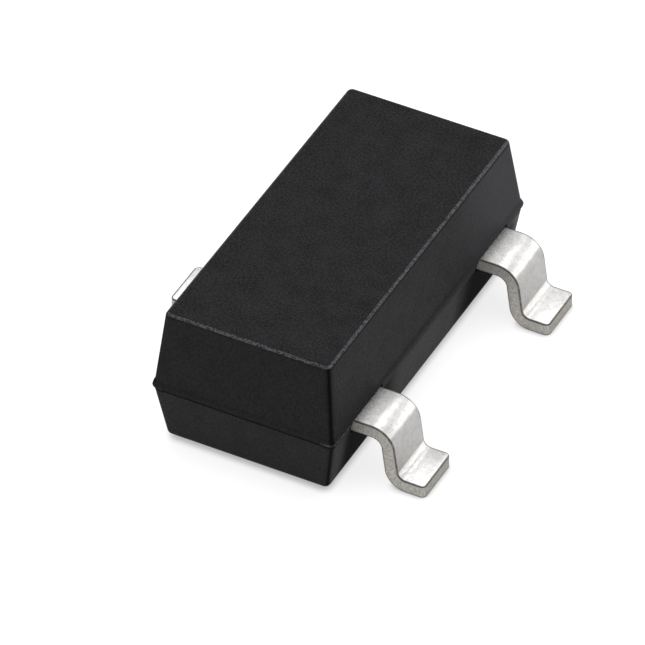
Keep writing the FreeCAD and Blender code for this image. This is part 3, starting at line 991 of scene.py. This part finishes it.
# %% Tin plate
# The crystals of matt tin are about 0.005 mm across, less than a pixel, so the pits are drawn coarser.
PLATE_PIT = 0.013
PLATE_MOTTLE = 0.045
LEG_START = knee_x + 0.7 * knee_run
PIT_LEVEL = (0.50, 0.34)
PIT_SHARE = 0.4
MOTTLE_LEVEL = (0.35, 0.62)
LEG_BLEND = 0.025
LEG_SHADE_SHARE = 0.62
BLEED = (0.695, 0.800)
BLEED_GRAIN = (0.62, 0.42)
BLEED_LEAST = 0.6
# Rubbed plating and painted shade along the edges of the strip: the width and share of the dark edge.
THIN_EDGE = 0.016
EDGE_SHADE_AND_WEAR_SHARE = 0.75
MOTTLE_RELIEF = 1.5
PLATE_HEIGHT = 0.3e-6
WIDE_SPREAD = (0.3, 0.7)
PLATE_ROUGHNESS = (0.50, 0.44)


def tin_plate():
    """Nearly white matt tin with pits, mottling, a film by the moulding and painted shade on leg and edges.
    """
    material, tree, _ = new_material("matt_tin_plate")
    flat = flat_strip_place(tree)
    along = add(tree, "SeparateXYZ", flat).outputs["X"]
    pits = add(tree, "TexNoise", {"Vector": flat, "Scale": 1 / PLATE_PIT, "Detail": 4, "Roughness": 0.65})
    mottle = add(tree, "TexNoise", {"Vector": flat, "Scale": 1 / PLATE_MOTTLE, "Detail": 3, "Roughness": 0.6})

    mottled = add(tree, "MapRange", mottle, *MOTTLE_LEVEL)
    plate = add(tree, "Mix", mottled, colour("#e9e8e6"), colour("#f4f3f1"))
    pitted = add(tree, "MapRange", pits, *PIT_LEVEL, 0, PIT_SHARE)
    plate = add(tree, "Mix", pitted, plate, colour("#acaba9"))
    # Painted shade: the steep leg is greyer than the shoulder and the foot.
    leg = band(tree, along, LEG_START, LEG_END, LEG_BLEND)
    plate = add(tree, "Mix", add(tree, "Math", leg, LEG_SHADE_SHARE), plate, colour("#8a8987"))
    bleed = add(tree, "Math", add(tree, "MapRange", along, *BLEED, 1, 0),
                add(tree, "MapRange", pits, *BLEED_GRAIN, BLEED_LEAST, 1))
    plate = add(tree, "Mix", bleed, plate, colour("#8c8c8a"))
    # Rubbed plating and painted shade: a thin dark edge along the sides and the tip of the strip.
    edge_shade_and_wear = add(tree, "MapRange", edge_distance(tree, flat), THIN_EDGE / 2, THIN_EDGE, EDGE_SHADE_AND_WEAR_SHARE, 0)
    plate = add(tree, "Mix", edge_shade_and_wear, plate, colour("#5d5c5a"))

    relief = add(tree, "Math", mottle, MOTTLE_RELIEF, pits, operation="MULTIPLY_ADD")
    bump = add(tree, "Bump", {"Height": relief, "Distance": PLATE_HEIGHT, "Strength": 1.0})
    rough = add(tree, "MapRange", mottle, *WIDE_SPREAD, *PLATE_ROUGHNESS)
    surface = add(tree, "BsdfPrincipled", {"Base Color": plate, "Metallic": 1.0, "Roughness": rough,
                                           "Normal": bump})
    add(tree, "OutputMaterial", surface)
    return material


tin = tin_plate()
print(tin.name, "uses", len(tin.node_tree.nodes), "nodes")

# %% [markdown]
# ### Stamped edge of the strip
#
# Where the press cut the strip, the metal is first sheared bright and then torn, so the narrow side faces
# are warm grey and granular, with fine marks across the thickness and a dark line along both borders, which
# is burr and painted shade where the edge rolls away from the light. The tip is cut last, when the strip is
# plated already, so it shows the bare and duller alloy.
# These faces get a material of their own: on a strip they are simply the faces at middle depth.

# %% Stamped edge
NOISE_SPREAD = (0.35, 0.65)
TEAR_WIDTH = 0.010
TEAR_SLANT = 0.5
TEAR_STRETCH = 0.25
BORDER = (0.36, 0.45)
TORN_BORDER = (0.35, 0.55)
BURR_AND_SHADE_SHARE = (0.45, 0.9)
EDGE_PIT_SHARE = 0.5
TIP_REACH = (0.006, 0.002)
TIP_SHARE = 0.35
TEAR_HEIGHT = 0.8e-6
EDGE_ROUGHNESS = 0.6


def stamped_edge():
    """Warm grey, granular sheared metal with dark borders of burr and painted shade."""
    material, tree, _ = new_material("sheared_nickel_iron_edge")
    flat = flat_strip_place(tree)
    along, across, deep = add(tree, "SeparateXYZ", flat).outputs
    slant = add(tree, "Math", deep, TEAR_SLANT, along, operation="MULTIPLY_ADD")
    run = add(tree, "Math", across, slant, operation="ADD")
    line = add(tree, "CombineXYZ", run, add(tree, "Math", deep, TEAR_STRETCH))
    tears = add(tree, "TexNoise", {"Vector": line, "Scale": 1 / TEAR_WIDTH, "Detail": 3})
    grain = add(tree, "TexNoise", {"Vector": flat, "Scale": 1 / PLATE_PIT, "Detail": 4, "Roughness": 0.7})

    torn = add(tree, "MapRange", tears, *NOISE_SPREAD)
    metal = add(tree, "Mix", torn, colour("#a3a09b"), colour("#c0bdb8"))
    pitted = add(tree, "MapRange", grain, *PIT_LEVEL, 0, EDGE_PIT_SHARE)
    metal = add(tree, "Mix", pitted, metal, colour("#827e77"))
    # Burr and painted shade: a dark line along both borders of the cut face.
    off_middle = away_from(tree, add(tree, "Math", deep, 1 / STRIP_THICKNESS), 0.5)
    burr_and_shade = add(tree, "Math", add(tree, "MapRange", off_middle, *BORDER),
               add(tree, "MapRange", tears, *TORN_BORDER, *BURR_AND_SHADE_SHARE))
    metal = add(tree, "Mix", burr_and_shade, metal, colour("#45433f"))
    tip = add(tree, "MapRange", along, *(STRIP_END - reach for reach in TIP_REACH), 0, TIP_SHARE)
    metal = add(tree, "Mix", tip, metal, colour("#8b867e"))

    relief = add(tree, "Math", tears, grain, operation="ADD")
    bump = add(tree, "Bump", {"Height": relief, "Distance": TEAR_HEIGHT, "Strength": 1.0})
    surface = add(tree, "BsdfPrincipled", {"Base Color": metal, "Metallic": 1.0,
                                           "Roughness": EDGE_ROUGHNESS, "Normal": bump})
    add(tree, "OutputMaterial", surface)
    return material


sheared = stamped_edge()
print(sheared.name, "uses", len(sheared.node_tree.nodes), "nodes")

# %% [markdown]
# Every face of a lead is either plated or cut. A plated face lies at depth 0 or 1 of the flat strip, and a
# cut face between them, so the stored depth of its corners sorts it.

# %% Put both finishes on the leads
CUT_FACE = 0.004

for lead in (base_lead, emitter_lead, collector_lead):
    flat = lead.data.attributes["flat_place"].data
    lead.data.materials.clear()
    lead.data.materials.append(tin)
    lead.data.materials.append(sheared)
    for face in lead.data.polygons:
        level = sum(flat[i].vector[2] for i in face.vertices) / len(face.vertices)
        face.material_index = int(CUT_FACE < level < 1 - CUT_FACE)
    print(lead.name, "cut faces:", sum(face.material_index for face in lead.data.polygons))

# %% [markdown]
# ### The sealed pieces
#
# Nobody sees the silicon, its bonding layer and the gold wires, but a section through the part would show
# them, so they keep their solids from the frame and get true finishes. Silicon is a dark mirror with faint
# saw marks on its sides and aluminium contacts on top, which a height finds. Real saw marks are a few
# micrometres apart, and these are drawn much coarser, so that they could be seen at all.

# %% Silicon
SAW_SPACING = 0.10
WAVE_TURN = 10
SAW_HEIGHT = 0.2e-6
CONTACT_THICKNESS = 0.003
POLISH = (0.16, 0.26)


def polished_silicon():
    """Dark polished silicon with sawn sides and aluminium contacts."""
    material, tree, place = new_material("polished_silicon")
    height = add(tree, "SeparateXYZ", place).outputs["Z"]
    contact_level = box_mm("silicon_die")[1].z - CONTACT_THICKNESS / 2
    contact = add(tree, "MapRange", height, contact_level - SAME_PLACE, contact_level + SAME_PLACE)
    # At a scale of 1, a diagonal wave turns by WAVE_TURN radians for each unit along an axis.
    saw = add(tree, "TexWave", {"Vector": place, "Scale": 2 * math.pi / WAVE_TURN / SAW_SPACING,
                                "Distortion": 2.0, "Detail": 2}, bands_direction="DIAGONAL")
    film = add(tree, "TexNoise", {"Vector": place, "Scale": 1 / PLATE_MOTTLE, "Detail": 3})
    film = add(tree, "MapRange", film, *NOISE_SPREAD)
    silicon = add(tree, "Mix", film, colour("#3a3d47"), colour("#565a66"))
    shown = add(tree, "Mix", contact, silicon, colour("#d6d7d8"))
    bump = add(tree, "Bump", {"Height": saw, "Distance": SAW_HEIGHT, "Strength": 0.6})
    rough = add(tree, "MapRange", saw, 0, 1, *POLISH)
    surface = add(tree, "BsdfPrincipled", {"Base Color": shown, "Metallic": 1.0, "Roughness": rough,
                                           "Normal": bump})
    add(tree, "OutputMaterial", surface)
    return material


silicon_finish = polished_silicon()
print("saw marks", SAW_SPACING, "mm apart")

# %% [markdown]
# The bonding layer is resin full of silver flakes, so it is half metal: each cell of a Voronoi pattern is
# one flake, and its random colour says how much it shines. The wires are gold, drawn through a die that
# leaves fine lines along them. They run mostly along Y, so a noise that is stretched along Y draws those
# lines.

# %% Silver-filled resin and gold wire
SILVER_FLAKE = 0.006
FLAKE_SHINE = (0.3, 0.8)
FLAKE_METAL = (0.1, 0.8)
FLAKE_HEIGHT = 0.5e-6
RESIN_ROUGHNESS = 0.48
DRAWN_LINE = 0.004
LINE_STRETCH = 0.15
LINE_HEIGHT = 0.15e-6
WIRE_ROUGHNESS = (0.20, 0.32)


def silver_filled_resin():
    """Dull grey resin crowded with silver flakes."""
    material, tree, place = new_material("silver_filled_resin")
    flakes = add(tree, "TexVoronoi", {"Vector": place, "Scale": 1 / SILVER_FLAKE, "Randomness": 1})
    shine, tilt, _ = add(tree, "SeparateColor", flakes.outputs["Color"]).outputs
    shown = add(tree, "Mix", add(tree, "MapRange", shine, *FLAKE_SHINE), colour("#8a8880"), colour("#cfcec9"))
    bump = add(tree, "Bump", {"Height": tilt, "Distance": FLAKE_HEIGHT, "Strength": 0.8})
    metal = add(tree, "MapRange", shine, *FLAKE_SHINE, *FLAKE_METAL)
    surface = add(tree, "BsdfPrincipled", {"Base Color": shown, "Metallic": metal,
                                           "Roughness": RESIN_ROUGHNESS, "Normal": bump})
    add(tree, "OutputMaterial", surface)
    return material


def drawn_gold():
    """Bright gold wire with the faint lines of the drawing die."""
    material, tree, place = new_material("drawn_gold_wire")
    lines = add(tree, "VectorMath", place, (1, LINE_STRETCH, 1), operation="MULTIPLY")
    drawn = add(tree, "TexNoise", {"Vector": lines, "Scale": 1 / DRAWN_LINE, "Detail": 2})
    drawn_share = add(tree, "MapRange", drawn, *NOISE_SPREAD)
    shown = add(tree, "Mix", drawn_share, colour("#d9a441"), colour("#f0c468"))
    bump = add(tree, "Bump", {"Height": drawn, "Distance": LINE_HEIGHT, "Strength": 0.6})
    rough = add(tree, "MapRange", drawn, *WIDE_SPREAD, *WIRE_ROUGHNESS)
    surface = add(tree, "BsdfPrincipled", {"Base Color": shown, "Metallic": 1.0, "Roughness": rough,
                                           "Normal": bump})
    add(tree, "OutputMaterial", surface)
    return material


gold = drawn_gold()
for node_name, finish in (("silicon_die", silicon_finish), ("die_attach", silver_filled_resin()),
                          ("base_bond_wire", gold), ("emitter_bond_wire", gold)):
    node_object = frame["nodes"][node_name]
    if not node_object.material_slots:
        node_object.data.materials.append(finish)
    for material_slot in node_object.material_slots:
        material_slot.material = finish
    print(node_name, "is finished as", finish.name)

# %% [markdown]
# ## Stage, light and camera
#
# The part stands on a plain white table. For the camera's own rays, and for mirrored and refracted ones,
# the table also glows, so that it reads as plain white. The glow fades where the part stands close above
# it, which keeps the tight soft shadow that a small part has on a white table. Lengths are metres here.

# %% Floor
FLOOR_SIZE = 0.6
GLOW = 0.90
CONTACT_REACH = 0.00006
CONTACT_OPEN = (0.2, 1)
CONTACT_SHADE = 0.45
WIDE_REACH = 0.0005
WIDE_OPEN = (0.1, 0.8)
WIDE_SHADE = 0.86
OPENNESS_SAMPLES = 8

bpy.ops.object.select_all(action="DESELECT")
bpy.ops.mesh.primitive_plane_add(size=FLOOR_SIZE)
floor = bpy.context.object
floor.name = "white_table"

table_finish = bpy.data.materials.new("white_table_paint")
table_finish.use_nodes = True
tree = table_finish.node_tree
tree.nodes.clear()
ray = add(tree, "LightPath")
looked_at = ray.outputs["Is Camera Ray"]
for kind in ("Is Glossy Ray", "Is Transmission Ray"):
    looked_at = add(tree, "Math", looked_at, ray.outputs[kind], operation="MAXIMUM")
contact = add(tree, "AmbientOcclusion", {"Distance": CONTACT_REACH}, samples=OPENNESS_SAMPLES).outputs["AO"]
wide = add(tree, "AmbientOcclusion", {"Distance": WIDE_REACH}, samples=OPENNESS_SAMPLES).outputs["AO"]
shade = add(tree, "Math", add(tree, "MapRange", contact, *CONTACT_OPEN, CONTACT_SHADE, 1),
            add(tree, "MapRange", wide, *WIDE_OPEN, WIDE_SHADE, 1))
shade = add(tree, "Math", shade, GLOW)
paint = add(tree, "BsdfDiffuse", add(tree, "Mix", looked_at, colour("#f2f2f2"), colour("#949494")))
glow = add(tree, "Emission", (1, 1, 1, 1), add(tree, "Math", looked_at, shade))
add(tree, "OutputMaterial", add(tree, "AddShader", paint, glow))
floor.data.materials.append(table_finish)
print("floor", FLOOR_SIZE, "m square")

# %% [markdown]
# The world is a plain studio: white at the height of the table and grey above, so that metal and gloss have
# something to mirror.

# %% World
SKY_RISE = (0.02, 0.55)

world = bpy.data.worlds.new("studio")
bpy.context.scene.world = world
world.use_nodes = True
tree = world.node_tree
tree.nodes.clear()
up = add(tree, "SeparateXYZ", add(tree, "TexCoord").outputs["Generated"]).outputs["Z"]
sky = add(tree, "Mix", add(tree, "MapRange", up, *SKY_RISE), colour("#ffffff"), colour("#8c8c8e"))
add(tree, "OutputWorld", add(tree, "Background", sky, 1.0))
print("world strength 1")

# %% [markdown]
# Three soft lamps light it, at the level of an ordinary copy stand: a large one overhead, which the tin
# mirrors, and two smaller ones low at the sides, which draw the upper rims of the block. A lamp's power is
# worked out from its area, so that its size can change without a change of level.

# %% Lamps
TARGET = Vector((0, 0, 0.5))


def softbox(name, place, width, height, radiance):
    """Adds a rectangular lamp at a place in millimetres, turned to the object."""
    lamp = bpy.data.lights.new(name, "AREA")
    lamp.shape = "RECTANGLE"
    lamp.size = width / MM_PER_METRE
    lamp.size_y = height / MM_PER_METRE
    lamp.energy = radiance * math.pi * lamp.size * lamp.size_y
    holder = bpy.data.objects.new(name, lamp)
    bpy.context.scene.collection.objects.link(holder)
    holder.location = Vector(place) / MM_PER_METRE
    holder.rotation_euler = (TARGET - Vector(place)).to_track_quat("-Z", "Y").to_euler()
    holder.visible_camera = False
    print(name, "sends", round(lamp.energy * MM_PER_METRE, 3), "mW")


softbox("overhead_softbox", (-2, 5, 14), 16, 16, 1.9)
softbox("right_back_softbox", (8, 8, 4.5), 9, 6, 1.5)
softbox("front_left_strip", (-9, -12, 6), 10, 3, 1.8)

# %% [markdown]
# The camera stands where the photographer's did, far away behind a long lens. Its place was worked out from
# the corners of the block: direction and distance from the object, then a small slide in the picture plane.

# %% Camera
PICTURE_SIDE = 645
FOCAL_PIXELS = 8341.5
VIEW_AZIMUTH = math.radians(28.072)
VIEW_ELEVATION = math.radians(41.0435)
VIEW_ROLL = math.radians(-0.5961)
VIEW_DISTANCE = 58.009
SLIDE_RIGHT = -0.123
SLIDE_UP = -0.2128

back = Vector((math.sin(VIEW_AZIMUTH) * math.cos(VIEW_ELEVATION),
               -math.cos(VIEW_AZIMUTH) * math.cos(VIEW_ELEVATION), math.sin(VIEW_ELEVATION)))
level_right = Vector((math.cos(VIEW_AZIMUTH), math.sin(VIEW_AZIMUTH), 0))
level_up = back.cross(level_right)
right = level_right * math.cos(VIEW_ROLL) + level_up * math.sin(VIEW_ROLL)
upward = level_up * math.cos(VIEW_ROLL) - level_right * math.sin(VIEW_ROLL)
camera_place = (TARGET + back * VIEW_DISTANCE + right * SLIDE_RIGHT + upward * SLIDE_UP) / MM_PER_METRE

camera_data = bpy.data.cameras.new("product_camera")
camera_data.sensor_width = 36
camera_data.lens = FOCAL_PIXELS / PICTURE_SIDE * camera_data.sensor_width
camera_data.clip_start = 0.001
camera_data.clip_end = 2.0
camera = bpy.data.objects.new("product_camera", camera_data)
bpy.context.scene.collection.objects.link(camera)
turn = Matrix((right, upward, back)).transposed().to_4x4()
camera.matrix_world = Matrix.Translation(camera_place) @ turn
bpy.context.scene.camera = camera
bpy.context.scene.view_settings.view_transform = "Standard"
print("lens", round(camera_data.lens, 1), "mm")
